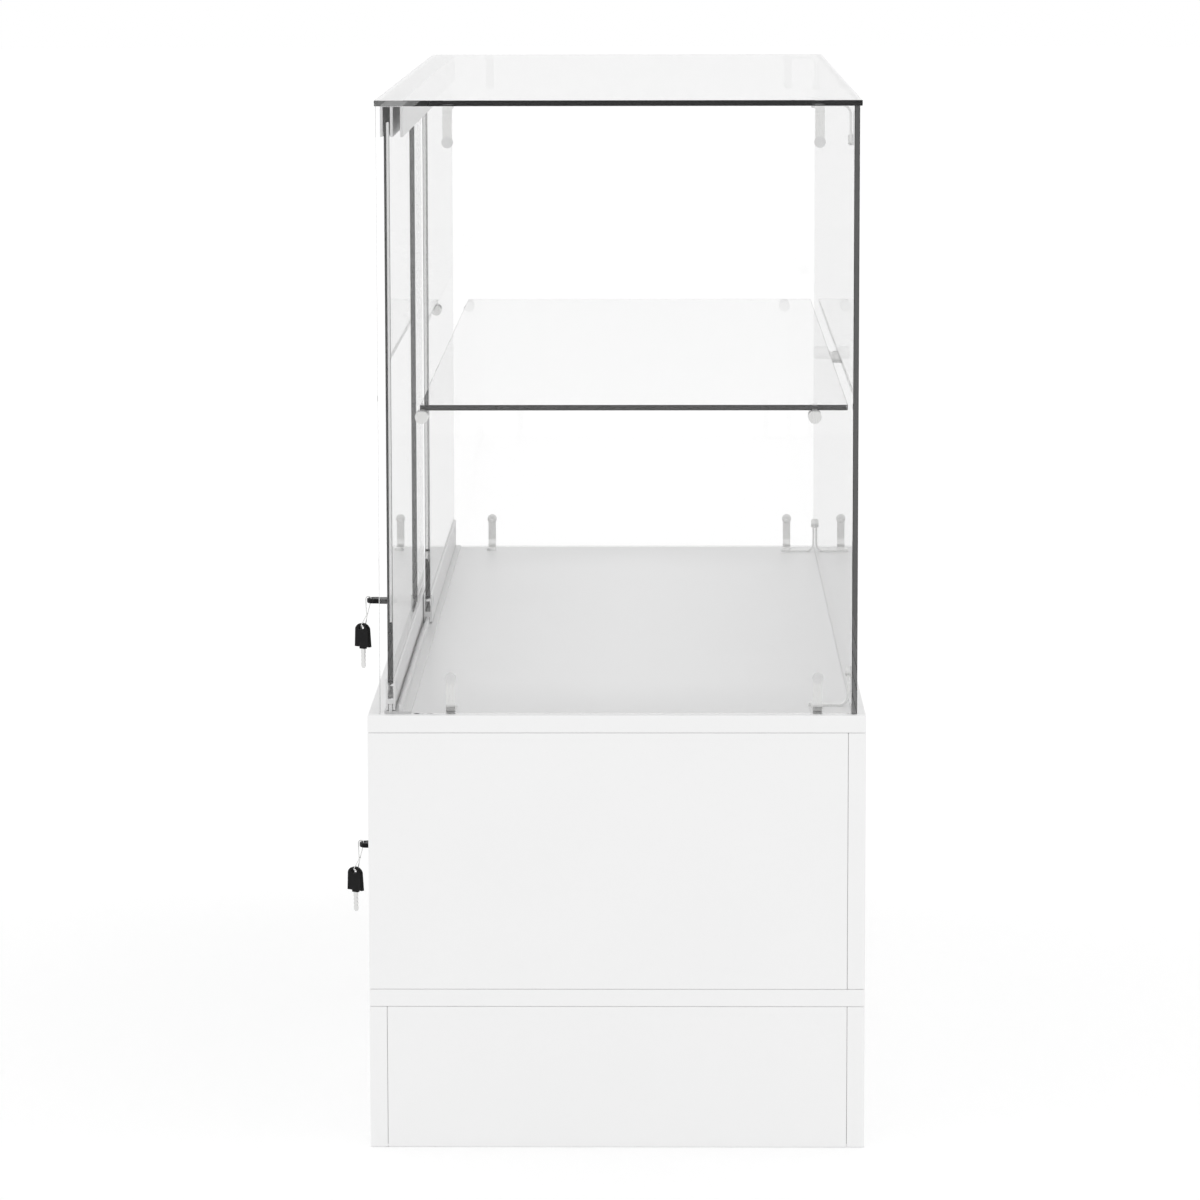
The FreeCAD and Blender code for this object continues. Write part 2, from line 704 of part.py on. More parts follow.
def door_gear(prefix, floor, ceiling, side_x, back, lip):
    """One storey's tracks, its two doors, the lock on the outer one and both keys."""
    centre = back - track_width / 2
    half = side_x - track_end_gap
    save(prefix + "_top_track", top_track(half, centre, ceiling))
    save(prefix + "_bottom_track", bottom_track(half, centre, floor, lip))
    reach = side_x - door_end_gap
    lap = door_overlap / 2
    outer_lane = centre + lane_pitch / 2
    for name, x0, x1, y in (("outer", -reach, lap, outer_lane),
                            ("inner", -lap, reach, centre - lane_pitch / 2)):
        save(prefix + "_door_" + name + "_pane", door_sheet(x0, x1, y, floor, ceiling))
        save(prefix + "_door_" + name + "_shoe", door_shoe(x0, x1, y, floor))
    face = vec(0, outer_lane + shoe_width / 2, floor + lock_rise)
    save(prefix + "_lock_housing", lock_housing(face))
    save(prefix + "_lock_plunger", lock_plunger(face))
    save(prefix + "_lock_plug", lock_plug(face))
    key_foot = face + Y * plunger_face
    save(prefix + "_key_head", place(key_head(), key_foot, Y, -X, Z))
    save(prefix + "_key_blade", place(key_blade(), key_foot, Y, -X, Z))
    eye = key_foot + Y * (head_length - eye_to_tip)
    spare_eye = eye + Y * spare_reach - Z * spare_drop
    tilt = math.radians(spare_tilt_degrees)
    turn = math.radians(spare_turn_degrees)
    upward = vec(0, math.sin(tilt), math.cos(tilt))
    level = vec(0, math.cos(tilt), -math.sin(tilt))
    across = level * math.cos(turn) + X * math.sin(turn)
    through = upward.cross(across)
    spare_foot = spare_eye - upward * (head_length - eye_to_tip)
    save(prefix + "_spare_key_head", place(key_head(), spare_foot, upward, across, through))
    save(prefix + "_spare_key_blade", place(key_blade(), spare_foot, upward, across, through))
    save(prefix + "_key_wire", key_wire(eye, spare_eye, through))


door_gear("showcase", z_deck, z_glass_ceiling, glass_inner_x, glass_track_back_y, showcase_sill_lip)
door_gear("cabinet", z_cabinet_floor, z_cabinet_ceiling, panel_inner_x, cabinet_track_back_y, 0)
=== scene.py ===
"""Finishes, small fixings and a white studio for the retail display case."""

import json
import math

import bmesh
import bpy
from mathutils import Matrix, Vector

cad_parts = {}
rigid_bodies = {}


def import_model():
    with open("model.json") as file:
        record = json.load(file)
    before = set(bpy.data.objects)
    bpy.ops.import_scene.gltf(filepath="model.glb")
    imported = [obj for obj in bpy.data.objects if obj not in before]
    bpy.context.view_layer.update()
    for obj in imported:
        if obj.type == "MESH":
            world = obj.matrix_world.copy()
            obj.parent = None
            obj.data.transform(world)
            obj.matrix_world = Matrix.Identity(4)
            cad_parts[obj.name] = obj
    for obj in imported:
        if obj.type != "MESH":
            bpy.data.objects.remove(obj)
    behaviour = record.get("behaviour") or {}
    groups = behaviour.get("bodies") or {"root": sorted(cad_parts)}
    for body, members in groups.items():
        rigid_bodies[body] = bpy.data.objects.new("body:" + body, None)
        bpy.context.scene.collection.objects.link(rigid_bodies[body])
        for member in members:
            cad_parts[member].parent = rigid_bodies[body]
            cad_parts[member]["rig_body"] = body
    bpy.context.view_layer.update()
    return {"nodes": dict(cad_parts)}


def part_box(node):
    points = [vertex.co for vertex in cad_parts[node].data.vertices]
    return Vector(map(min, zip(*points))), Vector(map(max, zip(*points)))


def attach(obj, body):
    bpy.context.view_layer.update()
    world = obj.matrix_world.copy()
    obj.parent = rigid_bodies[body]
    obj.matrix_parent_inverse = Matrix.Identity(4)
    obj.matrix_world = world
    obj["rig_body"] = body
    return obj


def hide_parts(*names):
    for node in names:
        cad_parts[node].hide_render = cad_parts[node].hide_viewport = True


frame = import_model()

bl_info = {
    "name": "Display Case Dressing",
    "version": (1, 0, 0),
    "blender": (4, 5, 0),
    "location": "View3D > Sidebar > Display Case",
    "description": "Gives the display case its finishes, track screws and studio",
    "category": "Object",
}

STOREYS = ("showcase", "cabinet")
MM = 0.001
WHITE = (1.0, 1.0, 1.0, 1.0)

# The case's axes: its length and its height
ALONG, UP = 0, 2
# Pegs further out than this hold the shelf's ends.
END_ZONE = 500 * MM
# The plate of a bottom track, on which its screws sit
SILL_PLATE = 2.0 * MM
# Corners of a sheet that are nearer than this are one corner.
SAME_PLACE = 0.001 * MM
# A face looks along the case, or up, if its normal does by this much.
LOOKS_ALONG = 0.9
LOOKS_UP = 0.5
# From a peg's side to its top in painted shadow, by how much its face looks up
SHADOWED_TOP = (0.0, 0.6)

# The values that a noise keeps to nearly everywhere
NOISE_SPAN = (0.3, 0.7)
FULL_SPAN = (0.0, 1.0)
# How open to the air a board is: from a seam in painted shade and dust to an open face, and from the deck's
# edge to its middle
SEAM_AIR = (0.4, 0.8)
DECK_AIR = (0.5, 1.0)
AIR_SAMPLES = 8

# Ray depths are whole numbers, so more than a half is at least one.
AT_LEAST_ONE = 0.5
# Few mirror bounces keep the edges of the glass dark.
LIGHT_BOUNCES = 16
MIRROR_BOUNCES = 4
FLOOR_SIDES = 64
SENSOR_MM = 36.0
SIGHT = 200.0


# Colours and nodes


def srgb(hex_colour):
    """An sRGB hex colour as linear red, green and blue."""
    channels = [int(hex_colour[i:i + 2], 16) / 255 for i in (1, 3, 5)]
    return tuple(c / 12.92 if c <= 0.04045 else ((c + 0.055) / 1.055) ** 2.4 for c in channels)


def rgba(colour):
    return (*colour, 1.0)


def pattern_scale(size_mm):
    """Texture scale for a pattern whose features are size_mm across, on coordinates in metres."""
    return 1 / (size_mm * MM)


def add(tree, kind, inputs=None, **settings):
    """Adds a node with its settings. An input that is given a socket is linked, any other is set."""
    node = tree.nodes.new(kind)
    for name, value in settings.items():
        setattr(node, name, value)
    for name, value in (inputs or {}).items():
        if isinstance(value, bpy.types.NodeSocket):
            tree.links.new(value, node.inputs[name])
        else:
            node.inputs[name].default_value = value
    return node


def calc(tree, operation, *values):
    """A sum, product or test of one or two values."""
    return add(tree, "ShaderNodeMath", dict(enumerate(values)), operation=operation).outputs["Value"]


def mix(tree, kind, factor, a, b, **settings):
    """From a to b by a factor."""
    ends = {"Factor": factor, "A": a, "B": b}
    return add(tree, "ShaderNodeMix", ends, data_type=kind, **settings).outputs["Result"]


def spread(tree, value, given, wanted):
    """A value's given span, spread over the wanted one."""
    return add(tree, "ShaderNodeMapRange", {
        "Value": value, "From Min": given[0], "From Max": given[1],
        "To Min": wanted[0], "To Max": wanted[1]}).outputs["Result"]


def noise(tree, where, scale, detail, roughness):
    """The value of a noise at given coordinates."""
    return add(tree, "ShaderNodeTexNoise", {
        "Vector": where, "Scale": scale, "Detail": detail, "Roughness": roughness}).outputs["Fac"]


def bump(tree, height, strength, depth):
    """The normal of a surface that is roughened by a height."""
    return add(tree, "ShaderNodeBump", {
        "Height": height, "Strength": strength, "Distance": depth}).outputs["Normal"]


def open_to_air(tree, reach):
    """1 where nothing stands within reach of the surface, less where something does."""
    return add(tree, "ShaderNodeAmbientOcclusion", {"Distance": reach}, samples=AIR_SAMPLES).outputs["AO"]


def parts_of(tree, vector):
    """The X, Y and Z of a vector."""
    return add(tree, "ShaderNodeSeparateXYZ", {"Vector": vector}).outputs


def new_material(name):
    """An empty material, its node tree and its output."""
    material = bpy.data.materials.new(name)
    material.use_nodes = True
    material.node_tree.nodes.clear()
    return material, material.node_tree, add(material.node_tree, "ShaderNodeOutputMaterial")


def surface(tree, output, inputs):
    """Gives a material its surface."""
    shader = add(tree, "ShaderNodeBsdfPrincipled", inputs)
    tree.links.new(shader.outputs["BSDF"], output.inputs["Surface"])


# Finishes


def white_melamine(finish):
    """Melamine-faced chipboard, pressed on a pearl plate: matt white, with a fine even stipple in its sheen."""
    material, tree, output = new_material("white_melamine_board")
    coordinates = add(tree, "ShaderNodeTexCoord").outputs
    where = coordinates["Object"]
    # A press plate's stipple is about 0.6 mm across. It is drawn at 1.6 mm so that it shows at all.
    stipple = noise(tree, where, scale=pattern_scale(1.6), detail=2.0, roughness=0.6)
    # Faint cloudiness of the printed paper, a hand's breadth across
    cloud = noise(tree, where, scale=pattern_scale(90.0), detail=3.0, roughness=0.55)
    paper = mix(tree, "RGBA", spread(tree, cloud, NOISE_SPAN, FULL_SPAN),
                rgba(finish.melamine_shade), rgba(finish.melamine))
    # Painted shade, with dust and the edge band's glue, darkens the narrow seams between upright boards.
    # The foot of the plinth and level faces are spared.
    foot = calc(tree, "LESS_THAN", parts_of(tree, where)["Z"], 2 * finish.seam_reach)
    level = calc(tree, "GREATER_THAN", parts_of(tree, coordinates["Normal"])["Z"], LOOKS_UP)
    clean = spread(tree, open_to_air(tree, finish.seam_reach), SEAM_AIR, FULL_SPAN)
    spared = calc(tree, "MAXIMUM", clean, calc(tree, "MAXIMUM", foot, level))
    seamed = mix(tree, "RGBA", spared, rgba(finish.melamine_seam_shade), paper)
    # The deck is softly shaded towards the glass and the tracks that stand on it.
    shade = spread(tree, open_to_air(tree, finish.shade_reach), DECK_AIR, (finish.wall_shade, 1.0))
    surface(tree, output, {
        "Base Color": mix(tree, "RGBA", level, seamed, shade, blend_type="MULTIPLY"),
        "Roughness": spread(tree, stipple, NOISE_SPAN, (0.30, 0.42)),
        "Normal": bump(tree, stipple, strength=0.12, depth=0.05 * MM), "IOR": 1.5})
    return material


def float_glass(name, finish, haze):
    """Float glass: it takes little light across a sheet and most along one. Grinding leaves a white haze."""
    material, tree, output = new_material(name)
    surface(tree, output, {
        "Base Color": WHITE, "Roughness": 0.0, "IOR": 1.5, "Transmission Weight": 1 - haze})
    depth = add(tree, "ShaderNodeVolumeAbsorption", {
        "Color": rgba(finish.glass_tint), "Density": finish.glass_density})
    tree.links.new(depth.outputs["Volume"], output.inputs["Volume"])
    return material


def polished_glass(finish):
    """Clear sheet, which shows by its reflections and its dark edges."""
    return float_glass("clear_float_glass", finish, 0.0)


def ground_glass(finish):
    """Ground ends of the front sheet, a little white from the wheel, so that they look grey and not black."""
    return float_glass("ground_float_glass", finish, finish.glass_haze)


def drawn_metal(name, colour, gloss, line_mm, length_mm, axis, upper=None):
    """Metal with fine lines along one axis, as a die, a brush or a mill leaves it.

    gloss is its least and most roughness, and upper a painted shadow colour for the tops of pieces at the
    case's ends.
    """
    material, tree, output = new_material(name)
    coordinates = add(tree, "ShaderNodeTexCoord").outputs
    where = coordinates["Object"]
    base = rgba(colour)
    if upper is not None:
        # The upper side of pieces at the case's ends gets a painted shadow.
        above = spread(tree, parts_of(tree, coordinates["Normal"])["Z"], SHADOWED_TOP, FULL_SPAN)
        out = calc(tree, "ABSOLUTE", parts_of(tree, where)["X"])
        dark = calc(tree, "MULTIPLY", above, calc(tree, "GREATER_THAN", out, END_ZONE))
        base = mix(tree, "RGBA", dark, rgba(colour), rgba(upper))
    stretch = [pattern_scale(line_mm)] * 3
    stretch[axis] = pattern_scale(length_mm)
    lines = add(tree, "ShaderNodeMapping", {"Vector": where, "Scale": stretch}).outputs["Vector"]
    grain = noise(tree, lines, scale=1.0, detail=3.0, roughness=0.6)
    surface(tree, output, {
        "Base Color": base, "Metallic": 1.0, "Roughness": spread(tree, grain, NOISE_SPAN, gloss),
        "Normal": bump(tree, grain, strength=0.1, depth=0.02 * MM)})
    return material


def anodised_aluminium(finish):
    """Extruded aluminium, silver anodised: pale and satin, with die lines along the case."""
    return drawn_metal("anodised_aluminium", finish.aluminium,
                       gloss=(0.48, 0.62), line_mm=0.5, length_mm=160.0, axis=ALONG)


def nickel_plate(name, finish, upper=None):
    """Nickel-plated steel: satin, with short brush marks that run up and down."""
    return drawn_metal(name, finish.nickel,
                       gloss=(0.24, 0.38), line_mm=0.4, length_mm=14.0, axis=UP, upper=upper)


def satin_nickel(finish):
    """The plate of the bent brackets and the small fixings."""
    return nickel_plate("satin_nickel_plate", finish)


def shaded_nickel(finish):
    """The plate of the shelf pegs. Those at the shelf's ends have a painted shadow on their upper side."""
    return nickel_plate("shelf_peg_nickel_plate", finish, finish.nickel_shadow)


def bright_nickel(finish):
    """Turned and stamped lock parts, bright nickel plated: smooth, with faint lines across the lock."""
    return drawn_metal("bright_nickel_plate", finish.bright_nickel,
                       gloss=(0.14, 0.24), line_mm=0.25, length_mm=6.0, axis=ALONG)


def die_cast_zinc(finish):
    """Die-cast zinc cams and bolts, left raw: grey, dull and a little blotched."""
    return drawn_metal("raw_die_cast_zinc", finish.zinc,
                       gloss=(0.40, 0.58), line_mm=1.2, length_mm=2.0, axis=UP)


def black_abs(finish):
    """Moulded ABS key heads: near black, with the fine spark-eroded grain of the mould."""
    material, tree, output = new_material("black_moulded_abs")
    where = add(tree, "ShaderNodeTexCoord").outputs["Object"]
    grain = noise(tree, where, scale=pattern_scale(0.35), detail=2.0, roughness=0.5)
    surface(tree, output, {
        "Base Color": rgba(finish.key_plastic), "Roughness": spread(tree, grain, NOISE_SPAN, (0.36, 0.52)),
        "Normal": bump(tree, grain, strength=0.25, depth=0.04 * MM),
        "IOR": 1.53, "Specular IOR Level": 0.15})
    return material


def clear_silicone(finish):
    """Clear silicone pads, squeezed thin between metal and glass: they show as a milky, pale disc."""
    material, tree, output = new_material("clear_silicone")
    where = add(tree, "ShaderNodeTexCoord").outputs["Object"]
    cloud = noise(tree, where, scale=pattern_scale(2.0), detail=2.0, roughness=0.5)
    surface(tree, output, {
        "Base Color": rgba(finish.silicone), "Roughness": spread(tree, cloud, NOISE_SPAN, (0.2, 0.35)),
        "IOR": 1.41})
    return material


def raw_beech(finish):
    """Turned beech dowels: pale brown with short dark flecks along the dowel."""
    material, tree, output = new_material("raw_beech")
    where = add(tree, "ShaderNodeTexCoord").outputs["Object"]
    along = add(tree, "ShaderNodeMapping", {
        "Vector": where, "Scale": (pattern_scale(0.8), pattern_scale(0.8), pattern_scale(9.0))})
    fleck = noise(tree, along.outputs["Vector"], scale=1.0, detail=4.0, roughness=0.6)
    surface(tree, output, {
        "Base Color": mix(tree, "RGBA", fleck, rgba(finish.beech_dark), rgba(finish.beech)),
        "Roughness": 0.65, "IOR": 1.5})
    return material


# Sizes and colours that a user would change


def colour_property(name, description, default):
    return bpy.props.FloatVectorProperty(
        name=name, description=description, subtype="COLOR", size=3, min=0.0, max=1.0, default=srgb(default))


def number_property(name, description, default, **settings):
    return bpy.props.FloatProperty(name=name, description=description, default=default, **settings)


def length_property(name, description, default):
    return number_property(name, description, default, subtype="DISTANCE", unit="LENGTH")


def angle_property(name, description, default):
    return number_property(name, description, default, subtype="ANGLE")


class CaseFinish(bpy.types.PropertyGroup):
    """Colours and clarity of the case's finishes."""

    melamine: colour_property("Melamine", "White of the boards", "#f9f9f9")
    melamine_shade: colour_property("Melamine shade", "Darkest white of the boards", "#f8f8f8")
    # Colour of the seams: painted shade, with dust and the edge band's glue
    melamine_seam_shade: colour_property("Melamine seam", "Shade of the seams between boards", "#a6a6a5")
    seam_reach: length_property("Seam reach", "How near a neighbour has to be to darken a board", 1.5 * MM)
    shade_reach: length_property("Shade reach", "How far the deck is shaded from the glass on it", 200.0 * MM)
    wall_shade: number_property("Wall shade", "Share of the deck's white that is left at the glass", 0.86)
    glass_tint: colour_property("Glass tint", "Colour that is left of light along a sheet", "#1c2422")
    glass_density: number_property("Glass density", "How much light the glass takes, per metre", 0.6, min=0.0)
    glass_air: length_property("Glass air", "Air left between a sheet and what it touches", 0.03 * MM)
    glass_bond: length_property("Glass bond", "How far a sheet reaches into what it is bonded to", 0.02 * MM)
    glass_haze: number_property(
        "Glass haze", "White share of the front sheet's ground ends", 0.09, min=0.0, max=1.0)
    aluminium: colour_property("Aluminium", "Anodised tracks and shoes", "#d8d8d8")
    nickel: colour_property("Satin nickel", "Brackets, pegs and their fixings", "#dededd")
    nickel_shadow: colour_property("Nickel shadow", "Upper side of the pegs at the shelf's ends", "#303030")
    bright_nickel: colour_property("Bright nickel", "Locks, key blades and wire", "#e6e6e5")
    zinc: colour_property("Zinc", "Cam discs and bolts", "#a9abad")
    key_plastic: colour_property("Key plastic", "Heads of the keys", "#0c0c0d")
    silicone: colour_property("Silicone", "Pads on the glass", "#dddddd")
    beech: colour_property("Beech", "Dowels", "#d2ac7c")
    beech_dark: colour_property("Beech fleck", "Dark flecks of the dowels", "#a87c4c")


class CaseFixings(bpy.types.PropertyGroup):
    """The low screws that hold the bottom tracks down."""

    head_radius: length_property("Head radius", "Radius of a screw's head", 2.7 * MM)
    head_height: length_property("Head height", "Height of a screw's head over the track", 0.7 * MM)
    recess_radius: length_property("Recess radius", "Mean radius of the driver recess", 0.95 * MM)
    recess_depth: length_property("Recess depth", "Depth of the driver recess", 0.5 * MM)
    end_margin: length_property("End margin", "From a track's end to its first screw", 40.0 * MM)
    count: bpy.props.IntProperty(name="Count", description="Screws in each track", default=7, min=2)


class CaseStudio(bpy.types.PropertyGroup):
    """Camera, floor and light."""

    camera_place: bpy.props.FloatVectorProperty(
        name="Camera place", description="Where the camera stands", subtype="TRANSLATION", unit="LENGTH",
        default=(-5.2039, -0.0400, 1.1489))
    camera_yaw: angle_property("Camera yaw", "Turn from the case's length", 0.01191)
    camera_pitch: angle_property("Camera pitch", "Tilt below the horizon", 0.13912)
    camera_roll: angle_property("Camera roll", "Roll about the view", -0.00176)
    camera_lens: number_property("Lens", "Focal length on a 36 mm sensor, in millimetres", 155.17)
    sky: number_property("Sky", "Strength of the white surroundings", 1.0)
    sky_through_glass: number_property(
        "Sky through glass", "Strength of the light that falls in through the glass", 0.745)
    sky_reflected: number_property("Sky reflected", "Strength of the surroundings in reflections", 0.985)
    floor_colour: colour_property("Floor", "Colour of the floor", "#f2f2f2")
    floor_lift: number_property("Floor lift", "Light added to the floor where it is seen", 0.15)
    floor_lift_reflected: number_property(
        "Floor lift reflected", "Light added to the floor in reflections", 0.07)
    floor_radius: length_property("Floor radius", "Half the width of the floor", 30.0)


# Operators


def paint(nodes, material):
    """Puts one material on each named CAD node."""
    for name in nodes:
        slots = frame["nodes"][name].data.materials
        slots.clear()
        slots.append(material)


def named(*endings, starts=""):
    """The CAD nodes whose names start and end so, in order."""
    return sorted(n for n in frame["nodes"] if n.startswith(starts) and n.endswith(endings))


class DISPLAYCASE_OT_boards(bpy.types.Operator):
    """Faces the plinth, the cabinet and its doors with white melamine"""

    bl_idname = "displaycase.boards"
    bl_label = "Boards"

    def execute(self, context):
        boards = named("_board", "_rail", "_divider", "front_panel")
        boards += named("_left", "_right", starts="plinth_end") + named("_left", "_right", starts="end_panel")
        boards += named("_pane", starts="cabinet_door")
        paint(boards, white_melamine(context.scene.case_finish))
        return {"FINISHED"}


class DISPLAYCASE_OT_glass(bpy.types.Operator):
    """Glazes the showcase, its shelf and its doors, with a hair of air round most of the sheets"""

    bl_idname = "displaycase.glass"
    bl_label = "Glass"

    def execute(self, context):
        finish = context.scene.case_finish
        polished = polished_glass(finish)
        ground = ground_glass(finish)
        sheets = named("_glass") + named("_left", "_right", starts="end_glass")
        sheets += named("_pane", starts="showcase_door")
        for name in sheets:
            node = frame["nodes"][name]
            air = -finish.glass_bond if name == "top_glass" else finish.glass_air
            mesh = self.bedded(node, air, finish.glass_bond)
            mesh.materials.append(polished)
            if name == "front_glass":
                mesh.materials.append(ground)
                for face in mesh.polygons:
                    face.material_index = int(abs(face.normal.x) > LOOKS_ALONG)
            sheet = bpy.data.objects.new(mesh.name, mesh)
            context.collection.objects.link(sheet)
            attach(sheet, node["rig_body"])
            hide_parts(name)
        return {"FINISHED"}

    @staticmethod
    def bedded(node, air, bond):
        """A merged copy of a sheet, drawn in by the air on all sides but its foot, which is sunk in its bed.

        The top sheet's air is negative, so that it reaches into what it is bonded to.
        """
        bm = bmesh.new()
        bm.from_mesh(node.data)
        bmesh.ops.remove_doubles(bm, verts=bm.verts, dist=SAME_PLACE)
        bm.normal_update()
        foot = min(v.co.z for v in bm.verts) + SAME_PLACE
        for vert, inward in [(v, v.normal * -air) for v in bm.verts]:
            vert.co += inward if vert.co.z > foot else Vector((inward.x, inward.y, -bond))
        for face in bm.faces:
            face.smooth = False
        mesh = bpy.data.meshes.new(node.name + "_sheet")
        bm.to_mesh(mesh)
        bm.free()
        return mesh


class DISPLAYCASE_OT_metalwork(bpy.types.Operator):
    """Finishes the tracks, door shoes, brackets, pegs and their clear pads"""

    bl_idname = "displaycase.metalwork"
    bl_label = "Metalwork"

    def execute(self, context):
        finish = context.scene.case_finish
        paint(named("_track", "_shoe"), anodised_aluminium(finish))
        paint(named("_brackets", "bracket_screws", "bracket_buttons"), satin_nickel(finish))
        paint(named("shelf_pegs"), shaded_nickel(finish))
        paint(named("_pads"), clear_silicone(finish))
        return {"FINISHED"}


class DISPLAYCASE_OT_locks(bpy.types.Operator):
    """Finishes the locks, the keys and the wire between them"""

    bl_idname = "displaycase.locks"
    bl_label = "Locks and keys"

    def execute(self, context):
        finish = context.scene.case_finish
        metal = named("_lock_housing", "_lock_plunger", "_lock_plug", "_key_blade", "_key_wire")
        paint(metal, bright_nickel(finish))
        paint(named("_key_head"), black_abs(finish))
        return {"FINISHED"}


class DISPLAYCASE_OT_joinery(bpy.types.Operator):
    """Finishes the dowels, cam discs and bolts in the boards"""

    bl_idname = "displaycase.joinery"
    bl_label = "Joinery"

    def execute(self, context):
        finish = context.scene.case_finish
        paint(named("_dowels"), raw_beech(finish))
        paint(named("cam_discs", "cam_bolts"), die_cast_zinc(finish))
        return {"FINISHED"}


def screw_head(fixings):
    """One low screw head about its seat, with a four-lobed driver recess."""
    mesh = bpy.data.meshes.new("track_screw_head")
    bm = bmesh.new()
    steps = 24
    lobes = 4
    lobe_share = 0.45
    # From the seat to the flat top, as shares of the head's radius and height
    head_shares = ((1.0, 0.0), (1.0, 0.35), (0.86, 0.85), (0.68, 1.0))
    recess_floor_share = 0.6

    def ring(radius, z, swell=0.0):
        verts = []
        for i in range(steps):
            angle = math.tau * i / steps
            reach = radius * (1 + swell * math.cos(lobes * angle))
            verts.append(bm.verts.new((reach * math.cos(angle), reach * math.sin(angle), z)))
        return verts

    top = fixings.head_height
    rings = [ring(fixings.head_radius * across, top * up) for across, up in head_shares]
    rings.append(ring(fixings.recess_radius, top, lobe_share))
    rings.append(ring(fixings.recess_radius * recess_floor_share, top - fixings.recess_depth, lobe_share))
    for low, high in zip(rings, rings[1:]):
        for i in range(steps):
            j = (i + 1) % steps
            bm.faces.new((low[i], low[j], high[j], high[i]))
    bm.faces.new(rings[-1])
    bm.faces.new(reversed(rings[0]))
    bm.normal_update()
    bm.to_mesh(mesh)
    bm.free()
    return mesh


def screw_row_tree():
    """A row of screws along X: a line of points, a screw on each, made real, with its finish."""
    tree = bpy.data.node_groups.new("track_screw_row", "GeometryNodeTree")
    kinds = {"Screw": "Object", "Start": "Vector", "Pitch": "Float", "Count": "Int", "Finish": "Material"}
    sockets = {}
    for name, kind in kinds.items():
        socket = tree.interface.new_socket(name, in_out="INPUT", socket_type="NodeSocket" + kind)
        sockets[name] = socket.identifier
    tree.interface.new_socket("Geometry", in_out="OUTPUT", socket_type="NodeSocketGeometry")
    given = add(tree, "NodeGroupInput").outputs
    step = add(tree, "ShaderNodeCombineXYZ", {"X": given["Pitch"]})
    line = add(tree, "GeometryNodeMeshLine", {
        "Count": given["Count"], "Start Location": given["Start"], "Offset": step.outputs["Vector"]})
    screw = add(tree, "GeometryNodeObjectInfo", {"Object": given["Screw"]})
    row = add(tree, "GeometryNodeInstanceOnPoints", {
        "Points": line.outputs["Mesh"], "Instance": screw.outputs["Geometry"]})
    real = add(tree, "GeometryNodeRealizeInstances", {"Geometry": row.outputs["Instances"]})
    done = add(tree, "GeometryNodeSetMaterial", {
        "Geometry": real.outputs["Geometry"], "Material": given["Finish"]})
    add(tree, "NodeGroupOutput", {"Geometry": done.outputs["Geometry"]})
    return tree, sockets


class DISPLAYCASE_OT_track_screws(bpy.types.Operator):
    """Screws each bottom track down, in the strip between its two ribs"""

    bl_idname = "displaycase.track_screws"
    bl_label = "Track screws"

    def execute(self, context):
        fixings = context.scene.case_fixings
        tree, sockets = screw_row_tree()
        screw = bpy.data.objects.new("track_screw", screw_head(fixings))
        finish = satin_nickel(context.scene.case_finish)
        for storey in STOREYS:
            low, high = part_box(storey + "_bottom_track")
            lanes_low, lanes_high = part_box(storey + "_top_track")
            middle = (lanes_low[1] + lanes_high[1]) / 2
            start = Vector((low[0] + fixings.end_margin, middle, low[2] + SILL_PLATE))
            pitch = (high[0] - low[0] - 2 * fixings.end_margin) / (fixings.count - 1)
            carrier = bpy.data.objects.new(storey + "_screw_row", bpy.data.meshes.new(storey + "_screw_row"))
            context.collection.objects.link(carrier)
            rule = carrier.modifiers.new("screws", "NODES")
            rule.node_group = tree
            for name, value in (("Screw", screw), ("Start", start), ("Pitch", pitch),
                                ("Count", fixings.count), ("Finish", finish)):
                rule[sockets[name]] = value
            context.view_layer.update()
            depsgraph = context.evaluated_depsgraph_get()
            mesh = bpy.data.meshes.new_from_object(carrier.evaluated_get(depsgraph), depsgraph=depsgraph)
            bpy.data.objects.remove(carrier)
            row = bpy.data.objects.new(storey + "_track_screws", mesh)
            context.collection.objects.link(row)
            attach(row, "case")
        bpy.data.objects.remove(screw)
        return {"FINISHED"}


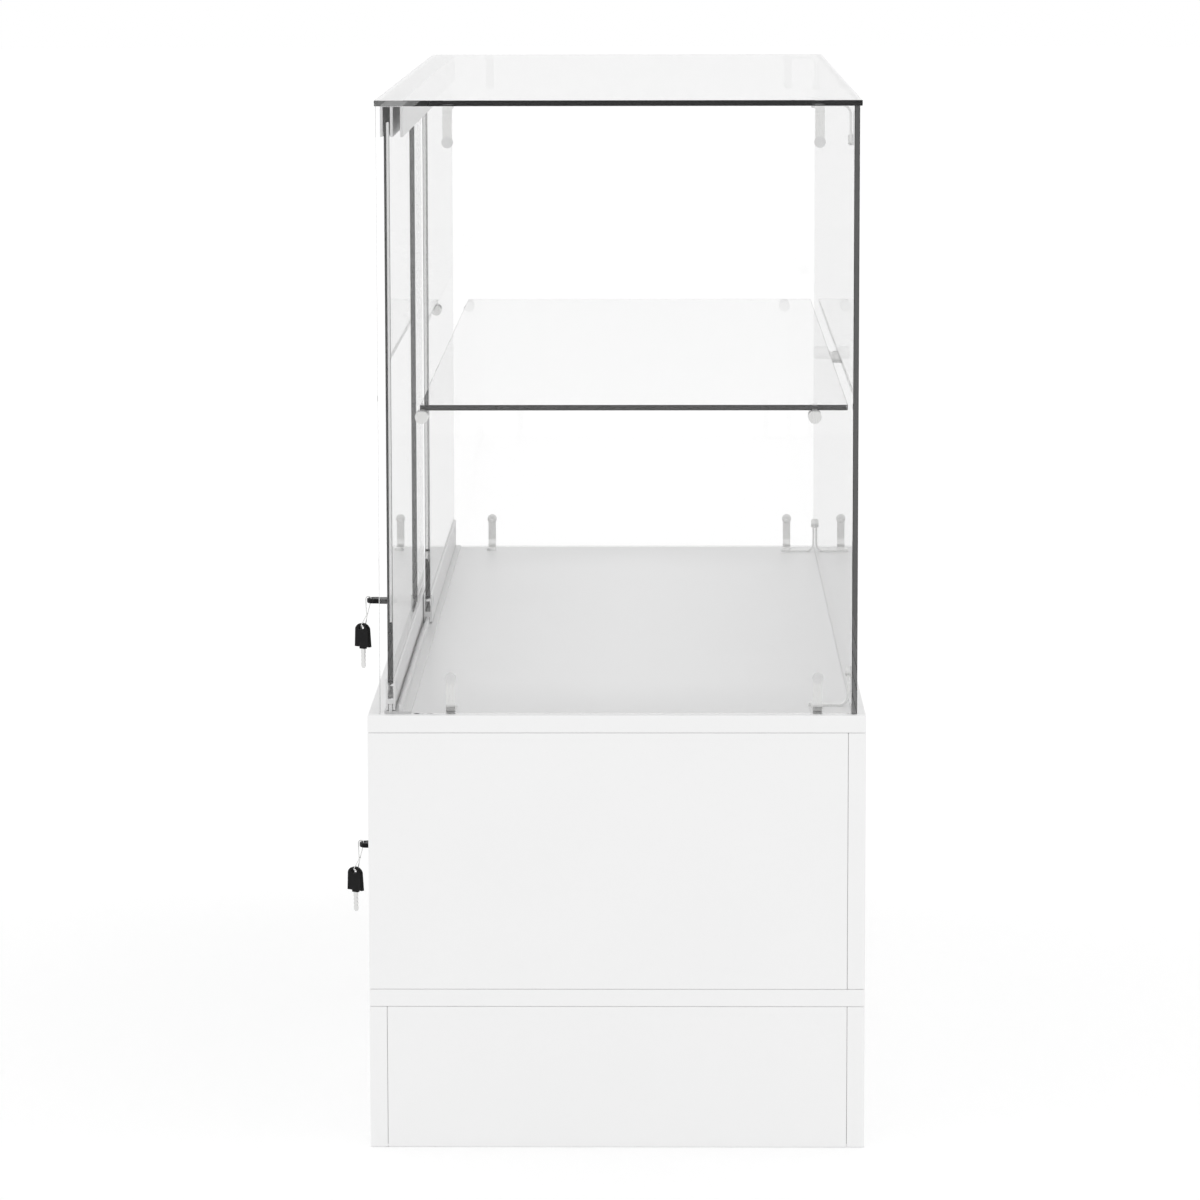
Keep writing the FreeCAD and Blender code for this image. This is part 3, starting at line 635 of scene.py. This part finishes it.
class DISPLAYCASE_OT_stage(bpy.types.Operator):
    """Sets up the floor, the white surroundings and the camera"""

    bl_idname = "displaycase.stage"
    bl_label = "Stage"

    def execute(self, context):
        studio = context.scene.case_studio
        self.make_floor(context, studio)
        self.make_surroundings(context.scene, studio)
        self.make_camera(context, studio)
        context.scene.view_settings.view_transform = "Standard"
        cycles = context.scene.cycles
        cycles.max_bounces = LIGHT_BOUNCES
        cycles.transmission_bounces = LIGHT_BOUNCES
        cycles.glossy_bounces = MIRROR_BOUNCES
        cycles.blur_glossy = 0.0
        return {"FINISHED"}

    @staticmethod
    def looks(tree, path):
        """1 for rays that look at the stage, from the camera or through glass."""
        return calc(tree, "MAXIMUM", path["Is Camera Ray"], path["Is Transmission Ray"])

    @staticmethod
    def bounced(tree, depth):
        """1 for rays that have bounced at least once, by their depth in bounces of one kind."""
        return calc(tree, "GREATER_THAN", depth, AT_LEAST_ONE)

    def make_floor(self, context, studio):
        """A pale matt floor that keeps the case's shadow."""
        material, tree, output = new_material("pale_studio_floor")
        matt = add(tree, "ShaderNodeBsdfDiffuse", {"Color": rgba(studio.floor_colour)})
        path = add(tree, "ShaderNodeLightPath").outputs
        shown = calc(tree, "MULTIPLY", self.looks(tree, path), studio.floor_lift)
        mirrored = self.bounced(tree, path["Glossy Depth"])
        lift = mix(tree, "FLOAT", mirrored, shown, studio.floor_lift_reflected)
        glow = add(tree, "ShaderNodeEmission", {"Color": WHITE, "Strength": lift})
        both = add(tree, "ShaderNodeAddShader", {0: matt.outputs["BSDF"], 1: glow.outputs["Emission"]})
        tree.links.new(both.outputs["Shader"], output.inputs["Surface"])
        mesh = bpy.data.meshes.new("studio_floor")
        bm = bmesh.new()
        bmesh.ops.create_circle(bm, cap_ends=True, segments=FLOOR_SIDES, radius=studio.floor_radius)
        bm.to_mesh(mesh)
        bm.free()
        mesh.materials.append(material)
        floor = bpy.data.objects.new("studio_floor", mesh)
        context.collection.objects.link(floor)

    def make_surroundings(self, scene, studio):
        """Even white light from all round: plain white where seen, weaker where it falls in through glass."""
        world = bpy.data.worlds.new("white_surroundings")
        world.use_nodes = True
        tree = world.node_tree
        tree.nodes.clear()
        path = add(tree, "ShaderNodeLightPath").outputs
        shown = mix(tree, "FLOAT", self.bounced(tree, path["Glossy Depth"]), 1.0, studio.sky_reflected)
        falls_in = mix(tree, "FLOAT", self.looks(tree, path), studio.sky, studio.sky_through_glass)
        lights_boards = self.bounced(tree, path["Diffuse Depth"])
        strength = mix(tree, "FLOAT", lights_boards, shown, falls_in)
        sky = add(tree, "ShaderNodeBackground", {"Color": WHITE, "Strength": strength})
        output = add(tree, "ShaderNodeOutputWorld")
        tree.links.new(sky.outputs["Background"], output.inputs["Surface"])
        scene.world = world

    def make_camera(self, context, studio):
        """A long lens on the case's left end, as the photograph has it."""
        data = bpy.data.cameras.new("end_view")
        data.sensor_width = SENSOR_MM
        data.lens = studio.camera_lens
        data.clip_end = SIGHT
        camera = bpy.data.objects.new("end_view", data)
        yaw, pitch, roll = studio.camera_yaw, studio.camera_pitch, studio.camera_roll
        ahead = Vector((math.cos(pitch) * math.cos(yaw), math.cos(pitch) * math.sin(yaw), -math.sin(pitch)))
        level = ahead.cross(Vector((0, 0, 1))).normalized()
        upright = level.cross(ahead)
        right = level * math.cos(roll) + upright * math.sin(roll)
        up = upright * math.cos(roll) - level * math.sin(roll)
        turn = Matrix((right, up, -ahead)).transposed().to_4x4()
        camera.matrix_world = Matrix.Translation(studio.camera_place) @ turn
        context.collection.objects.link(camera)
        context.scene.camera = camera


class DISPLAYCASE_PT_dressing(bpy.types.Panel):
    """The steps that dress the case, in order"""

    bl_label = "Display Case"
    bl_idname = "DISPLAYCASE_PT_dressing"
    bl_space_type = "VIEW_3D"
    bl_region_type = "UI"
    bl_category = "Display Case"

    def draw(self, context):
        for operator in OPERATORS:
            self.layout.operator(operator.bl_idname)
        for group in GROUPS:
            settings = getattr(context.scene, group)
            for name in GROUPS[group].__annotations__:
                self.layout.prop(settings, name)


OPERATORS = (
    DISPLAYCASE_OT_boards,
    DISPLAYCASE_OT_glass,
    DISPLAYCASE_OT_metalwork,
    DISPLAYCASE_OT_locks,
    DISPLAYCASE_OT_joinery,
    DISPLAYCASE_OT_track_screws,
    DISPLAYCASE_OT_stage,
)
GROUPS = {"case_finish": CaseFinish, "case_fixings": CaseFixings, "case_studio": CaseStudio}


def register():
    for name, group in GROUPS.items():
        bpy.utils.register_class(group)
        setattr(bpy.types.Scene, name, bpy.props.PointerProperty(type=group))
    for kind in (*OPERATORS, DISPLAYCASE_PT_dressing):
        bpy.utils.register_class(kind)


def unregister():
    for kind in reversed((*OPERATORS, DISPLAYCASE_PT_dressing)):
        bpy.utils.unregister_class(kind)
    for name, group in GROUPS.items():
        delattr(bpy.types.Scene, name)
        bpy.utils.unregister_class(group)


def main():
    register()
    for operator in OPERATORS:
        group, name = operator.bl_idname.split(".")
        getattr(getattr(bpy.ops, group), name)()


if __name__ == "__main__":
    main()
